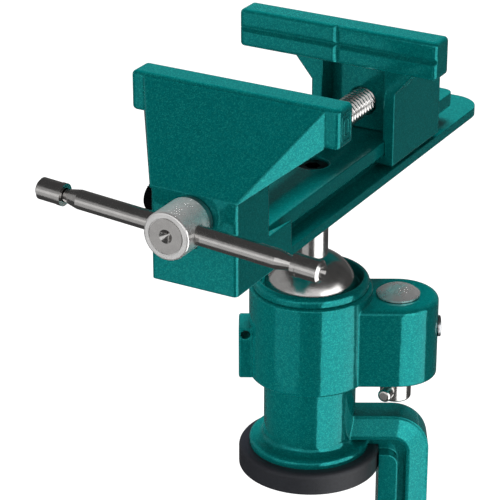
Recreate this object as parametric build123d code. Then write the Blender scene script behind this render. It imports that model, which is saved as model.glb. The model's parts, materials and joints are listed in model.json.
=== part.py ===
"""Ball joint vise: a small bench vise on a chromed ball, clamped to the edge of a bench.

The base frame has its origin at the centre of the rubber foot's underside, +Z up, +X towards the
lock boss and the C-arm, and +Y to the far side. The head is drawn in its own frame, with the
fixed jaw's front face at y = 0, its rear end along +y and the bed's underside at z = 0, and is
then set on the ball's stem, turned by HEAD_PAN about it. All sizes are in millimetres.
"""

from build123d import *
from math import cos, sin, sqrt, radians
import os

# Driving dimensions of the jaws
JAW_WIDTH = 75.0
JAW_BAR_THICKNESS = 10.0
JAW_BAR_HEIGHT = 13.5
JAW_TOP = 58.0
JAW_OPENING = 60.5
JAW_EDGE_ROUND = 1.6
GROOVE_WIDTH = 2.6
GROOVE_DEPTH = 1.3

# Fixed jaw: inclined plate and screw block
PLATE_TOP_WIDTH = 65.4
PLATE_TOP_DROP = 1.0
BLOCK_WIDTH = 31.0
BLOCK_REACH = 25.0
BLOCK_LENGTH = 20.8
PLATE_FOOT_HEIGHT = 32.0
FLANK_HEIGHT = 1.0
BLOCK_ROUND = 1.5
PLATE_ROUND = 1.0

# Bed: flange, web, rail
FLANGE_WIDTH = 31.0
FLANGE_THICKNESS = 3.3
FLANGE_END = 164.0
FLANGE_END_ROUND = 11.0
LAND_END = 11.0
WEB_WIDTH = 17.0
RAIL_WIDTH = 25.2
RAIL_UNDERSIDE = 12.8
RAIL_TOP = 17.8
RAIL_END = 142.5
RAIL_END_ROUND = 4.0
TROUGH_WIDTH = 14.0
TROUGH_DEPTH = 1.2

# Moving jaw
SLIDE_CLEARANCE = 0.3
COLUMN_WIDTH = 32.0
COLUMN_SETBACK = 1.5
COLUMN_LENGTH = 35.0
COLUMN_UNDERSIDE = 6.8
COLUMN_REAR_HEIGHT = 30.0
COLUMN_ROUND = 1.5
LIP_REACH = 3.6
GUSSET_WIDTH = 53.0
GUSSET_FOOT = 32.0
GUSSET_DEPTH = 11.0
POCKET_WIDTH = 24.0
POCKET_DEPTH = 7.2

# Lead screw, its sleeve, keeper and nut
SCREW_HEIGHT = 24.0
SCREW_RADIUS = 5.0
SCREW_END = 113.0
JOURNAL_RADIUS = 5.75
RUNNING_FIT = 0.05
STATIC_FIT = 0.02
SLEEVE_RADIUS = 8.0
SLEEVE_LENGTH = 13.8
WASHER_THICKNESS = 2.2
WASHER_RADIUS = 7.4
CENTRE_DRILL_RADIUS = 2.3
CENTRE_DRILL_DEPTH = 2.4
RING_LINE = 0.35
KEEPER_SET_BACK = 12.0
KEEPER_HEAD_RADIUS = 4.25
KEEPER_HEAD_LENGTH = 5.0
KEEPER_SHANK_RADIUS = 2.5
KEEPER_DOG_RADIUS = 1.5
KEEPER_SOCKET_RADIUS = 2.3
KEEPER_SOCKET_DEPTH = 2.5
KEEPER_GROOVE_DEPTH = 1.4
KEEPER_GAP = 0.3
NUT_RADIUS = 8.0
NUT_LENGTH = 14.0
NUT_FLANGE_RADIUS = 9.6
NUT_FLANGE_THICKNESS = 2.0

# Tommy bar of the lead screw
HANDLE_RADIUS = 3.2
HANDLE_LENGTH = 101.0
HANDLE_TILT = 3.75
HANDLE_NECK_RADIUS = 2.0
HANDLE_TAPER_LENGTH = 5.5
HANDLE_CAP_LENGTH = 9.5
HANDLE_CAP_RADIUS = 3.1
HANDLE_COLLAR_RADIUS = 3.7
HANDLE_COLLAR_LENGTH = 1.6
HANDLE_HOLE_CLEARANCE = 0.1
CAP_DISH_RADIUS = 2.0
CAP_DISH_DEPTH = 2.0

# Ball, stem and the bolt that holds the bed on it
BALL_RADIUS = 17.0
BALL_CENTRE = 66.0
STEM_RADIUS = 5.75
STEM_FROM_JAW = 54.7
BED_UNDERSIDE = 101.5
HEAD_PAN = -29.0
STEM_WASHER_RADIUS = 8.6
STEM_WASHER_THICKNESS = 2.0
PILOT_RADIUS = 4.5
PILOT_LENGTH = 4.0
BOLT_RADIUS = 3.0
BOLT_HEAD_RADIUS = 5.0
BOLT_HEAD_HEIGHT = 6.0
BOLT_SEAT_HEIGHT = 7.0
BOLT_COUNTERBORE_RADIUS = 5.8
BOLT_DEPTH = 12.0
BOLT_SOCKET_RADIUS = 2.8
BOLT_SOCKET_DEPTH = 3.0

# Ball housing, ring and seat
HOUSING_RADIUS = 21.6
HOUSING_UNDERSIDE = 36.3
HOUSING_TOP = 70.0
HOUSING_ROUND = 1.0
CAVITY_CLEARANCE = 0.4
RING_RADIUS = 20.4
RING_TOP = 73.5
RING_ROUND = 2.0
RING_THREAD_RADIUS = 19.2
RING_THREAD_LENGTH = 8.0
SEAT_RADIUS = 10.4
SEAT_THICKNESS = 4.5

# Post, foot and rubber
POST_RADIUS = 16.3
POST_FOOT_ROUND = 2.5
FOOT_RADIUS = 21.5
FOOT_TOP = 11.0
FOOT_ROUND = 1.6
RUBBER_RADIUS = 25.2
RUBBER_HEIGHT = 8.0
RUBBER_FLOOR = 5.5
RUBBER_ROUND = 2.0

# Lock boss and the side lug
BOSS_FROM_POST = 30.4
BOSS_RADIUS = 14.2
BOSS_UNDERSIDE = 37.0
BOSS_TOP = 66.0
BOSS_ROUND = 1.8
LUG_REACH = 25.2
LUG_HALF_WIDTH = 6.0
LUG_TOP = 55.6
LUG_HOLE_RADIUS = 1.7
LUG_HOLE_DROP = 2.6
LUG_HOLE_INSET = 2.4
LUG_ROUND = 0.8

# Lock shaft, plunger, keeper and lock bar
LOCK_SHAFT_RADIUS = 5.5
LOCK_SHAFT_FOOT = 26.0
LOCK_ECCENTRIC_RADIUS = 3.6
LOCK_ECCENTRIC_THROW = 0.9
LOCK_WAIST_HALF = 4.6
PLUNGER_DROP = 12.2
PLUNGER_RADIUS = 4.0
PLUNGER_GAP = 0.3
CAP_GAP = 0.2
CAP_RADIUS = 7.65
CAP_HEIGHT = 3.4
CAP_RIM = 0.6
CAP_SPIGOT_RADIUS = 2.5
CAP_SPIGOT_LENGTH = 4.0
PLUG_HEAD_RADIUS = 3.75
PLUG_HEAD_HEIGHT = 1.0
PLUG_SHANK_RADIUS = 2.5
PLUG_DOG_RADIUS = 1.6
PLUG_DOG_LENGTH = 3.0
LOCK_BAR_RADIUS = 1.8
LOCK_BAR_NEAR = 11.0
LOCK_BAR_FAR = 27.0
LOCK_BAR_HEIGHT = 30.8
LOCK_BAR_TURN = -26.0
LOCK_BAR_CAP_RADIUS = 2.4
LOCK_BAR_CAP_LENGTH = 3.6

# C-arm
ARM_INNER = 24.7
ARM_OUTER = 42.5
ARM_TOP = 20.4
ARM_FOOT = -88.0
ARM_CORNER = 13.0
ARM_HALF_DEPTH = 8.0
ARM_WEB_HALF = 3.2
RIB_WIDTH = 6.7
RIB_TOP = 6.3
RIB_CORNER = 4.0
BEAD_WIDTH = 8.0
BEAD_SLOPE_WIDTH = 5.6
BEAD_EDGE_HALF = 5.2
LOWER_ARM_TOP = -70.0
THROAT_CORNER = 6.0
SCREW_BOSS_RADIUS = 11.5
SCREW_BOSS_TOP = -67.0
SCREW_BOSS_FOOT = -90.0

# Clamp screw, pad and tommy bar
CLAMP_SCREW_RADIUS = 6.0
CLAMP_SCREW_LENGTH = 86.0
CLAMP_GAP = 30.0
CLAMP_HEAD_RADIUS = 8.5
CLAMP_HEAD_LENGTH = 14.0
PAD_RADIUS = 15.0
PAD_RIM = 2.0
PAD_HUB_RADIUS = 8.5
PAD_HUB_LENGTH = 6.5
PAD_RECESS_RADIUS = 6.8
PAD_RECESS_DEPTH = 2.6
SPIGOT_RADIUS = 4.0
RETAINER_RADIUS = 5.8
RETAINER_THICKNESS = 0.9
RETAINER_GROOVE_DEPTH = 0.5
CLAMP_BAR_RADIUS = 3.0
CLAMP_BAR_LENGTH = 84.0
CLAMP_BAR_NECK_RADIUS = 2.0
CLAMP_BAR_TURN = 35.0
CLAMP_CAP_RADIUS = 4.0
CLAMP_CAP_LENGTH = 7.0

# Worked out from the sizes above
BLOCK_BACK = BLOCK_LENGTH - BLOCK_REACH
REAR_JAW_FRONT = JAW_BAR_THICKNESS + JAW_OPENING
REAR_JAW_BACK = REAR_JAW_FRONT + JAW_BAR_THICKNESS
COLUMN_FRONT = REAR_JAW_BACK + COLUMN_SETBACK
COLUMN_BACK = COLUMN_FRONT + COLUMN_LENGTH
JAW_BAR_UNDERSIDE = JAW_TOP - JAW_BAR_HEIGHT
WASHER_BACK = -BLOCK_REACH - SLIDE_CLEARANCE
SLEEVE_BACK = WASHER_BACK - WASHER_THICKNESS
SLEEVE_FRONT = SLEEVE_BACK - SLEEVE_LENGTH
SLEEVE_MIDDLE = SLEEVE_BACK - SLEEVE_LENGTH / 2
KEEPER_Y = KEEPER_SET_BACK - BLOCK_REACH
PLUNGER_HEIGHT = BALL_CENTRE - PLUNGER_DROP
MIN = (Align.CENTER, Align.CENTER, Align.MIN)


def post(radius, low, high, x=0.0, y=0.0):
    """Upright cylinder between two heights."""
    return Pos(x, y, low) * Cylinder(radius, high - low, align=MIN)


def bar_x(radius, low, high, y=0.0, z=0.0):
    """Cylinder along x between two places."""
    return Pos(low, y, z) * Rot(0, 90, 0) * Cylinder(radius, high - low, align=MIN)


def bar_y(radius, low, high, x=0.0, z=0.0):
    """Cylinder along y between two places."""
    return Pos(x, low, z) * Rot(-90, 0, 0) * Cylinder(radius, high - low, align=MIN)


def block(x_low, x_high, y_low, y_high, z_low, z_high):
    """Box between six planes."""
    size = (x_high - x_low, y_high - y_low, z_high - z_low)
    middle = ((x_low + x_high) / 2, (y_low + y_high) / 2, (z_low + z_high) / 2)
    return Pos(*middle) * Box(*size)


def slab(half_width, y_low, y_high, z_low, z_high):
    """Box centred on the head's long axis."""
    return block(-half_width, half_width, y_low, y_high, z_low, z_high)


def turned(*profile):
    """Solid turned about Z from (radius, height) points."""
    return revolve(Plane.XZ * make_face(Polyline(*profile, close=True)), Axis.Z)


def plan_prism(points, low, high):
    """Upright prism over a plan outline."""
    return Pos(0, 0, low) * extrude(make_face(Polyline(*points, close=True)), high - low)


def side_prism(points, half_width):
    """Prism across the head from (y, z) points."""
    return extrude(Plane.YZ * make_face(Polyline(*points, close=True)), half_width, both=True)


def front_prism(points, y_low, y_high):
    """Prism along the head from (x, z) points."""
    outline = Plane.XZ * make_face(Polyline(*points, close=True))
    return Pos(0, y_low, 0) * extrude(outline, -(y_high - y_low))


def mirrored(points):
    """Outline points on one side, then their mirror images on the other."""
    return list(points) + [(-x, z) for x, z in reversed(points)]


def upright_edges(part):
    """Edges that run straight up."""
    return part.edges().filter_by(Axis.Z)


def on_stem(part):
    """Head frame to base frame: turned about the stem and lifted onto it."""
    return Pos(0, 0, BED_UNDERSIDE) * Rot(0, 0, HEAD_PAN) * Pos(0, -STEM_FROM_JAW, 0) * part


def hex_socket(flat_radius, depth, top):
    """Hexagonal recess for a key, down from a height."""
    return Pos(0, 0, top - depth) * extrude(RegularPolygon(flat_radius, 6), depth)


def jaw_bar(y_front):
    """Jaw bar with rounded edges."""
    bar = slab(JAW_WIDTH / 2, y_front, y_front + JAW_BAR_THICKNESS, JAW_BAR_UNDERSIDE, JAW_TOP)
    return fillet(bar.edges(), JAW_EDGE_ROUND)


def screw_bore(radius, y_low, y_high):
    """Bore on the lead screw's axis."""
    return bar_y(radius, y_low, y_high, z=SCREW_HEIGHT)


def fixed_jaw():
    """Bar, inclined plate with its flanks, and the block that carries the lead screw."""
    plate_top = JAW_TOP - PLATE_TOP_DROP
    foot = PLATE_FOOT_HEIGHT - FLANK_HEIGHT
    plan = mirrored([(BLOCK_WIDTH / 2, -BLOCK_REACH), (PLATE_TOP_WIDTH / 2, 0)])
    side = [(-BLOCK_REACH, foot), (-BLOCK_REACH, PLATE_FOOT_HEIGHT), (0, plate_top), (0, JAW_BAR_UNDERSIDE)]
    wedge = plan_prism(plan, 0, JAW_TOP) & side_prism(side, JAW_WIDTH)
    plate_edges = wedge.edges().filter_by(lambda edge: edge.length > BLOCK_REACH and abs(edge.tangent_at(0.5).Z) > 0.5)
    wedge = fillet(plate_edges, PLATE_ROUND)
    over_wedge = [(-BLOCK_REACH, 0), (-BLOCK_REACH, foot)]
    over_wedge += [(0, JAW_BAR_UNDERSIDE), (JAW_BAR_THICKNESS / 2, JAW_BAR_UNDERSIDE + JAW_EDGE_ROUND)]
    over_wedge += [(JAW_BAR_THICKNESS / 2, JAW_BAR_UNDERSIDE), (BLOCK_BACK, foot), (BLOCK_BACK, 0)]
    neck = side_prism(over_wedge, BLOCK_WIDTH / 2)
    front_corners = upright_edges(neck).group_by(Axis.Y)[0]
    neck = fillet(front_corners, BLOCK_ROUND)
    return jaw_bar(0) + wedge + neck


def vise_bed():
    """Fixed jaw, flange, web and T-rail in one casting."""
    flange = slab(FLANGE_WIDTH / 2, BLOCK_BACK, FLANGE_END, 0, FLANGE_THICKNESS)
    flange = fillet(upright_edges(flange).group_by(Axis.Y)[-1], FLANGE_END_ROUND)
    land = slab(FLANGE_WIDTH / 2, BLOCK_BACK, LAND_END, 0, RAIL_UNDERSIDE)
    rail = slab(RAIL_WIDTH / 2, BLOCK_BACK, RAIL_END, RAIL_UNDERSIDE, RAIL_TOP)
    rail = fillet(upright_edges(rail).group_by(Axis.Y)[-1], RAIL_END_ROUND)
    web = slab(WEB_WIDTH / 2, BLOCK_BACK, RAIL_END - RAIL_END_ROUND, 0, RAIL_UNDERSIDE)
    trough = slab(TROUGH_WIDTH / 2, BLOCK_BACK, RAIL_END + 1, RAIL_TOP - TROUGH_DEPTH, RAIL_TOP + 1)
    bed = fixed_jaw() + flange + land + web + (rail - trough)
    bed -= screw_bore(JOURNAL_RADIUS + RUNNING_FIT, -BLOCK_REACH - 1, LAND_END)
    bed -= bar_x(KEEPER_SHANK_RADIUS + STATIC_FIT, -BLOCK_WIDTH, 0, KEEPER_Y, SCREW_HEIGHT)
    bed -= post(BOLT_COUNTERBORE_RADIUS, BOLT_SEAT_HEIGHT, RAIL_TOP + 1, y=STEM_FROM_JAW)
    bed -= post(BOLT_RADIUS + RUNNING_FIT, 0, BOLT_SEAT_HEIGHT, y=STEM_FROM_JAW)
    bed -= post(PILOT_RADIUS + RUNNING_FIT, -1, PILOT_LENGTH + SLIDE_CLEARANCE, y=STEM_FROM_JAW)
    return bed


def moving_jaw():
    """Rear jaw: bar with crossed V-grooves on a column that straddles the rail."""
    bar = jaw_bar(REAR_JAW_FRONT)
    groove = [(0, GROOVE_DEPTH), (GROOVE_WIDTH / 2, 0), (-GROOVE_WIDTH / 2, 0)]
    middle = (JAW_TOP + JAW_BAR_UNDERSIDE) / 2
    along = [(REAR_JAW_FRONT + depth, middle + across) for across, depth in groove]
    bar -= side_prism(along, JAW_WIDTH)
    upright = [(across, REAR_JAW_FRONT + depth) for across, depth in groove]
    bar -= plan_prism(upright, 0, JAW_TOP + 1)
    half = COLUMN_WIDTH / 2
    flare = mirrored([(half, COLUMN_UNDERSIDE), (half, GUSSET_FOOT), (GUSSET_WIDTH / 2, JAW_BAR_UNDERSIDE),
                      (GUSSET_WIDTH / 2, JAW_BAR_UNDERSIDE + JAW_BAR_HEIGHT / 2)])
    gusset = front_prism(flare, COLUMN_FRONT, COLUMN_FRONT + GUSSET_DEPTH)
    neck = front_prism(mirrored([(GUSSET_WIDTH / 2, JAW_BAR_UNDERSIDE),
                                 (GUSSET_WIDTH / 2, JAW_BAR_UNDERSIDE + JAW_BAR_HEIGHT / 2)]),
                       REAR_JAW_BACK - JAW_BAR_THICKNESS / 2, COLUMN_FRONT + GUSSET_DEPTH)
    slope = [(COLUMN_FRONT, COLUMN_UNDERSIDE), (COLUMN_FRONT, JAW_BAR_UNDERSIDE)]
    slope += [(COLUMN_FRONT + GUSSET_DEPTH, JAW_BAR_UNDERSIDE), (COLUMN_BACK, COLUMN_REAR_HEIGHT)]
    slope += [(COLUMN_BACK, COLUMN_UNDERSIDE)]
    column = side_prism(slope, half)
    column = fillet(upright_edges(column).group_by(Axis.Y)[-1], COLUMN_ROUND)
    jaw = bar + gusset + neck + column
    slot_half = RAIL_WIDTH / 2 + SLIDE_CLEARANCE
    ends = (COLUMN_FRONT - 1, COLUMN_BACK + 1)
    jaw -= slab(slot_half, *ends, RAIL_UNDERSIDE - SLIDE_CLEARANCE, RAIL_TOP + SLIDE_CLEARANCE)
    jaw -= slab(slot_half - LIP_REACH, *ends, 0, RAIL_UNDERSIDE)
    jaw -= slab(POCKET_WIDTH / 2, COLUMN_FRONT - 1, COLUMN_FRONT + POCKET_DEPTH, RAIL_TOP, GUSSET_FOOT)
    nut_front = COLUMN_FRONT + POCKET_DEPTH
    jaw -= screw_bore(NUT_FLANGE_RADIUS + STATIC_FIT, nut_front, nut_front + NUT_FLANGE_THICKNESS)
    jaw -= screw_bore(NUT_RADIUS + STATIC_FIT, nut_front, nut_front + NUT_FLANGE_THICKNESS + NUT_LENGTH)
    jaw -= screw_bore(SCREW_RADIUS + SLIDE_CLEARANCE, nut_front, COLUMN_BACK + 1)
    return jaw


def jaw_nut():
    """Flanged nut, its underside cut level to clear the rail."""
    front = COLUMN_FRONT + POCKET_DEPTH
    back = front + NUT_FLANGE_THICKNESS + NUT_LENGTH
    nut = screw_bore(NUT_FLANGE_RADIUS, front, front + NUT_FLANGE_THICKNESS)
    nut += screw_bore(NUT_RADIUS, front, back)
    nut -= screw_bore(SCREW_RADIUS + RUNNING_FIT, front - 1, back + 1)
    return nut - slab(NUT_FLANGE_RADIUS * 2, front - 1, back + 1, 0, RAIL_TOP + SLIDE_CLEARANCE)


def handle_hole(radius):
    """Cross hole of the lead screw's tommy bar, tilted as the bar is."""
    hole = Rot(0, HANDLE_TILT, 0) * bar_x(radius, -SLEEVE_RADIUS * 2, SLEEVE_RADIUS * 2)
    return Pos(0, SLEEVE_MIDDLE, SCREW_HEIGHT) * hole


def lead_screw():
    """Screw with its journal, keeper groove, cross hole and centre-drilled end."""
    screw = screw_bore(JOURNAL_RADIUS, SLEEVE_FRONT, BLOCK_BACK + SLIDE_CLEARANCE)
    screw += screw_bore(SCREW_RADIUS, BLOCK_BACK, SCREW_END)
    groove_half = KEEPER_DOG_RADIUS + KEEPER_GAP
    ring = screw_bore(JOURNAL_RADIUS + 1, KEEPER_Y - groove_half, KEEPER_Y + groove_half)
    ring -= screw_bore(JOURNAL_RADIUS - KEEPER_GROOVE_DEPTH, KEEPER_Y - 4, KEEPER_Y + 4)
    screw -= ring
    screw -= handle_hole(HANDLE_RADIUS + HANDLE_HOLE_CLEARANCE)
    drill = turned((0, 0), (CENTRE_DRILL_RADIUS, 0), (0, CENTRE_DRILL_DEPTH))
    screw -= Pos(0, SLEEVE_FRONT, SCREW_HEIGHT) * Rot(-90, 0, 0) * drill
    return screw


def screw_sleeve():
    """Sleeve on the screw's end, with a fine bevelled line round the screw."""
    sleeve = screw_bore(SLEEVE_RADIUS, SLEEVE_FRONT, SLEEVE_BACK)
    sleeve = fillet(sleeve.edges().filter_by(GeomType.CIRCLE), 0.7)
    sleeve -= screw_bore(JOURNAL_RADIUS + STATIC_FIT, SLEEVE_FRONT - 1, SLEEVE_BACK + 1)
    sleeve -= screw_bore(JOURNAL_RADIUS + RING_LINE, SLEEVE_FRONT - 1, SLEEVE_FRONT + RING_LINE)
    return sleeve - handle_hole(HANDLE_RADIUS + HANDLE_HOLE_CLEARANCE)


def thrust_washer():
    """Washer between the sleeve and the block."""
    washer = screw_bore(WASHER_RADIUS, SLEEVE_BACK, WASHER_BACK)
    return washer - screw_bore(JOURNAL_RADIUS + STATIC_FIT, SLEEVE_BACK - 1, WASHER_BACK + 1)


def screw_keeper():
    """Socket-head screw whose dog point rides in the lead screw's groove."""
    face = -BLOCK_WIDTH / 2
    tip = -(JOURNAL_RADIUS - KEEPER_GROOVE_DEPTH + KEEPER_GAP)
    shank_end = -(JOURNAL_RADIUS + KEEPER_GAP)
    head = bar_x(KEEPER_HEAD_RADIUS, face - KEEPER_HEAD_LENGTH, face)
    head = fillet(head.edges().group_by(Axis.X)[0], 0.5)
    socket = Rot(0, 90, 0) * hex_socket(KEEPER_SOCKET_RADIUS, KEEPER_SOCKET_DEPTH, 0)
    head -= Pos(face - KEEPER_HEAD_LENGTH + KEEPER_SOCKET_DEPTH, 0, 0) * socket
    keeper = head + bar_x(KEEPER_SHANK_RADIUS, face, shank_end) + bar_x(KEEPER_DOG_RADIUS, shank_end, tip)
    return Pos(0, KEEPER_Y, SCREW_HEIGHT) * keeper


def tommy_bar(length, radius, neck_radius, cap_length):
    """Bar along x, drawn in to a neck at both ends, where the caps go on."""
    half = length / 2
    shoulder = half - cap_length - HANDLE_TAPER_LENGTH
    neck = half - cap_length
    tip = half - cap_length / 2
    side = [(0, tip), (neck_radius, tip), (neck_radius, neck), (radius, shoulder)]
    return Rot(0, 90, 0) * turned(*side, *[(r, -z) for r, z in reversed(side)])


def bar_cap(length, neck_radius, cap_length, cap_radius, collar_radius, dish):
    """End cap on a tommy bar's +x neck: a knob with a thin collar on its inner side."""
    half = length / 2
    inner = half - cap_length
    profile = [(neck_radius, inner), (collar_radius - 0.4, inner), (collar_radius, inner + 0.4)]
    profile += [(collar_radius, inner + HANDLE_COLLAR_LENGTH - 0.4)]
    profile += [(collar_radius - 0.4, inner + HANDLE_COLLAR_LENGTH)]
    profile += [(cap_radius, inner + HANDLE_COLLAR_LENGTH), (cap_radius, half - 0.8), (cap_radius - 0.8, half)]
    profile += [(dish, half), (dish * 0.6, half - CAP_DISH_DEPTH)] if dish else []
    profile += [(0, half - (CAP_DISH_DEPTH if dish else 0)), (0, half - cap_length / 2)]
    profile += [(neck_radius, half - cap_length / 2)]
    return Rot(0, 90, 0) * turned(*profile)


def at_sleeve(part):
    """Tommy bar frame to head frame."""
    return Pos(0, SLEEVE_MIDDLE, SCREW_HEIGHT) * Rot(0, HANDLE_TILT, 0) * part


def jaw_handle_cap(dish):
    """One end cap of the lead screw's tommy bar."""
    return bar_cap(HANDLE_LENGTH, HANDLE_NECK_RADIUS, HANDLE_CAP_LENGTH, HANDLE_CAP_RADIUS,
                   HANDLE_COLLAR_RADIUS, dish)


def ball_stud():
    """Ball, stem and the pilot that centres the bed."""
    top = BED_UNDERSIDE - STEM_WASHER_THICKNESS
    stud = Pos(0, 0, BALL_CENTRE) * Sphere(BALL_RADIUS)
    stud += post(STEM_RADIUS, BALL_CENTRE, top)
    stud += post(PILOT_RADIUS, BALL_CENTRE, BED_UNDERSIDE + PILOT_LENGTH)
    bolt_tip = BED_UNDERSIDE + BOLT_SEAT_HEIGHT - BOLT_DEPTH - SLIDE_CLEARANCE
    return stud - post(BOLT_RADIUS + RUNNING_FIT, bolt_tip, BED_UNDERSIDE + PILOT_LENGTH + 1)


def stem_washer():
    """Washer between the stem's shoulder and the bed."""
    low = BED_UNDERSIDE - STEM_WASHER_THICKNESS + SLIDE_CLEARANCE
    washer = post(STEM_WASHER_RADIUS, low, BED_UNDERSIDE)
    return washer - post(PILOT_RADIUS + RUNNING_FIT, low - 1, BED_UNDERSIDE + 1)


def stem_bolt():
    """Socket-head bolt in the rail's counterbore."""
    seat = BED_UNDERSIDE + BOLT_SEAT_HEIGHT
    head = post(BOLT_HEAD_RADIUS, seat, seat + BOLT_HEAD_HEIGHT)
    head -= hex_socket(BOLT_SOCKET_RADIUS, BOLT_SOCKET_DEPTH, seat + BOLT_HEAD_HEIGHT)
    return head + post(BOLT_RADIUS, seat - BOLT_DEPTH, seat)


def ball_space(clearance):
    """Sphere a clearance larger than the ball."""
    return Pos(0, 0, BALL_CENTRE) * Sphere(BALL_RADIUS + clearance)


def seat_floor():
    """Height of the ball seat's flat underside."""
    return BALL_CENTRE - BALL_RADIUS - SEAT_THICKNESS


def ball_seat():
    """Cup under the ball, free to turn in its pocket."""
    top = BALL_CENTRE - sqrt(BALL_RADIUS**2 - SEAT_RADIUS**2)
    return post(SEAT_RADIUS, seat_floor(), top) - ball_space(RUNNING_FIT)


def socket_ring():
    """Rounded ring screwed into the housing's mouth, which keeps the ball in."""
    ring = post(RING_RADIUS, HOUSING_TOP, RING_TOP)
    ring = fillet(ring.edges().group_by(Axis.Z)[-1], RING_ROUND)
    ring += post(RING_THREAD_RADIUS, HOUSING_TOP - RING_THREAD_LENGTH, HOUSING_TOP)
    ring -= post(BALL_RADIUS + CAVITY_CLEARANCE, HOUSING_TOP - RING_THREAD_LENGTH - 1, BALL_CENTRE)
    return ring - ball_space(RUNNING_FIT)


def arm_outline():
    """Web of the C-arm, seen from the front: outer corners round, throat open to the left."""
    outer = Polyline((0, ARM_TOP), (ARM_OUTER, ARM_TOP), (ARM_OUTER, ARM_FOOT), (0, ARM_FOOT),
                     (0, LOWER_ARM_TOP), (ARM_INNER, LOWER_ARM_TOP), (ARM_INNER, RIB_TOP), (0, RIB_TOP),
                     close=True)
    face = make_face(outer)
    corners = [v for v in face.vertices() if v.X > ARM_OUTER - 1]
    return fillet(corners, ARM_CORNER)


def arm_bead():
    """Raised outer border of the arm, with sloping faces towards its edge."""
    top = ARM_TOP
    path = Line((0, top), (ARM_OUTER - ARM_CORNER, top))
    path += JernArc((ARM_OUTER - ARM_CORNER, top), (1, 0), ARM_CORNER, -90)
    path += Line((ARM_OUTER, top - ARM_CORNER), (ARM_OUTER, ARM_FOOT + ARM_CORNER))
    path += JernArc((ARM_OUTER, ARM_FOOT + ARM_CORNER), (0, -1), ARM_CORNER, -90)
    path += Line((ARM_OUTER - ARM_CORNER, ARM_FOOT), (0, ARM_FOOT))
    slope = (BEAD_SLOPE_WIDTH + 1.0, ARM_HALF_DEPTH)
    half = [(0, BEAD_EDGE_HALF), (1.0, BEAD_EDGE_HALF), slope, (BEAD_WIDTH, ARM_HALF_DEPTH)]
    section = half + [(inward, -depth) for inward, depth in reversed(half)]
    face = make_face(Polyline(*[(0, depth, top - inward) for inward, depth in section], close=True))
    return sweep(face, path=Plane.XZ * path)


def arm_rib():
    """Raised inner border along the throat."""
    right = ARM_INNER + RIB_WIDTH
    outer = Polyline((ARM_INNER, RIB_TOP), (right, RIB_TOP), (right, LOWER_ARM_TOP - RIB_WIDTH),
                     (0, LOWER_ARM_TOP - RIB_WIDTH), (0, LOWER_ARM_TOP), (ARM_INNER, LOWER_ARM_TOP), close=True)
    face = make_face(outer)
    corners = [v for v in face.vertices() if v.X > right - 1]
    return extrude(Plane.XZ * fillet(corners, RIB_CORNER), ARM_HALF_DEPTH, both=True)


def clamp_frame():
    """Ball housing, lock boss, lug, post, foot flange and C-arm in one casting."""
    housing = post(HOUSING_RADIUS, HOUSING_UNDERSIDE, HOUSING_TOP)
    housing = fillet(housing.edges().filter_by(GeomType.CIRCLE), HOUSING_ROUND)
    column = post(POST_RADIUS, RUBBER_FLOOR, HOUSING_UNDERSIDE + HOUSING_ROUND)
    foot = post(FOOT_RADIUS, RUBBER_FLOOR, FOOT_TOP)
    foot = fillet(foot.edges().group_by(Axis.Z)[-1], FOOT_ROUND)
    standing = column + foot
    join = standing.edges().filter_by(GeomType.CIRCLE).filter_by(
        lambda edge: abs(edge.radius - POST_RADIUS) < 0.1 and abs(edge.center().Z - FOOT_TOP) < 0.1)
    standing = fillet(join, POST_FOOT_ROUND)
    boss = post(BOSS_RADIUS, BOSS_UNDERSIDE, BOSS_TOP, x=BOSS_FROM_POST)
    boss += block(0, BOSS_FROM_POST, -BOSS_RADIUS, BOSS_RADIUS, BOSS_UNDERSIDE, BOSS_TOP)
    boss = fillet(boss.edges().group_by(Axis.Z)[-1], BOSS_ROUND)
    lug = block(-LUG_REACH, 0, -LUG_HALF_WIDTH, LUG_HALF_WIDTH, HOUSING_UNDERSIDE, LUG_TOP)
    lug = fillet(lug.edges().group_by(Axis.X)[0], LUG_ROUND)
    hole_x = LUG_HOLE_INSET - LUG_REACH
    lug -= bar_y(LUG_HOLE_RADIUS, -LUG_HALF_WIDTH * 2, LUG_HALF_WIDTH * 2, hole_x, LUG_TOP - LUG_HOLE_DROP)
    arm = extrude(Plane.XZ * arm_outline(), ARM_WEB_HALF, both=True) + arm_bead() + arm_rib()
    arm -= block(-RUBBER_RADIUS, ARM_INNER, -RUBBER_RADIUS, RUBBER_RADIUS, -1, RUBBER_HEIGHT + STATIC_FIT)
    screw_boss = post(SCREW_BOSS_RADIUS, SCREW_BOSS_FOOT, SCREW_BOSS_TOP)
    frame = housing + standing + boss + lug + arm + screw_boss
    frame -= post(BALL_RADIUS + CAVITY_CLEARANCE, BALL_CENTRE - BALL_RADIUS, HOUSING_TOP + 1)
    frame -= post(RING_THREAD_RADIUS + STATIC_FIT, HOUSING_TOP - RING_THREAD_LENGTH, HOUSING_TOP + 1)
    frame -= post(SEAT_RADIUS + RUNNING_FIT, seat_floor() - RUNNING_FIT, BALL_CENTRE)
    frame -= post(LOCK_SHAFT_RADIUS + RUNNING_FIT, BOSS_UNDERSIDE - 1, BOSS_TOP + 1, x=BOSS_FROM_POST)
    frame -= bar_x(PLUNGER_RADIUS + RUNNING_FIT, SEAT_RADIUS, BOSS_FROM_POST, z=PLUNGER_HEIGHT)
    frame -= bar_x(PLUG_SHANK_RADIUS + STATIC_FIT, BOSS_FROM_POST, BOSS_FROM_POST + BOSS_RADIUS + 1, z=PLUNGER_HEIGHT)
    frame -= post(CLAMP_SCREW_RADIUS + RUNNING_FIT, SCREW_BOSS_FOOT - 1, SCREW_BOSS_TOP + 1)
    return frame


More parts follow.
